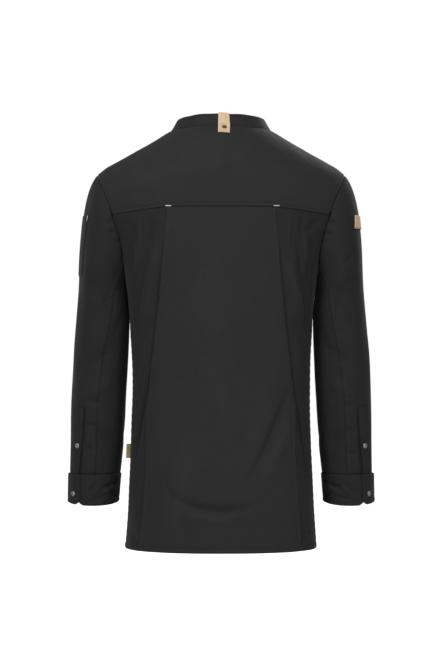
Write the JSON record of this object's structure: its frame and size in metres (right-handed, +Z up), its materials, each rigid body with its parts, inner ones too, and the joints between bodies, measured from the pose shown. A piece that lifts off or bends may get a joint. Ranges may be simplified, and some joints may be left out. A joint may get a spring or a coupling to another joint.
{
  "type": "chef jacket",
  "caption": "Long-sleeved black chef jacket with stand collar, back yoke, princess seams, press-stud placket, turned cuffs, sleeve pen pocket and leather neck loop, filled out with no wearer.",
  "frame": {"origin": "middle of the neck base, between the two points where collar and shoulder line meet, where the wearer's neck and shoulders carry the jacket", "axes": "+Z up along the back, +Y out of the wearer's back, +X towards the wearer's left, so the front closing faces -Y"},
  "size_m": [0.5922, 0.2452, 0.8174],
  "materials": {
    "twill": "black cotton twill, matt",
    "back_twill": "black cotton twill, matt, a shade lighter and smoother",
    "tan_leather": "natural tan leather, matt",
    "stud_steel": "grey press stud cap, satin",
    "rivet_brown": "dark brown rivet",
    "woven_label": "khaki woven tape, bare"
  },
  "bodies": {
    "root": {"back_centre": "back_twill", "back_side_left": "twill", "back_side_right": "twill", "back_yoke": "back_twill", "collar": "back_twill", "cuff_left": "twill", "cuff_right": "twill", "cuff_stud_left": "stud_steel", "cuff_stud_right": "stud_steel", "front_left": "twill", "front_placket": "twill", "front_right": "twill", "front_stud_1": "stud_steel", "front_stud_2": "stud_steel", "front_stud_3": "stud_steel", "front_stud_4": "stud_steel", "front_stud_5": "stud_steel", "front_stud_6": "stud_steel", "front_stud_7": "stud_steel", "neck_loop": "tan_leather", "neck_loop_rivet": "rivet_brown", "pen_pocket": "twill", "placket_stud_left": "stud_steel", "placket_stud_right": "stud_steel", "side_label": "woven_label", "sleeve_patch": "tan_leather", "sleeve_placket_left": "twill", "sleeve_placket_right": "twill", "sleeve_top_left": "twill", "sleeve_top_right": "twill", "sleeve_under_left": "twill", "sleeve_under_right": "twill"}
  },
  "joints": []
}
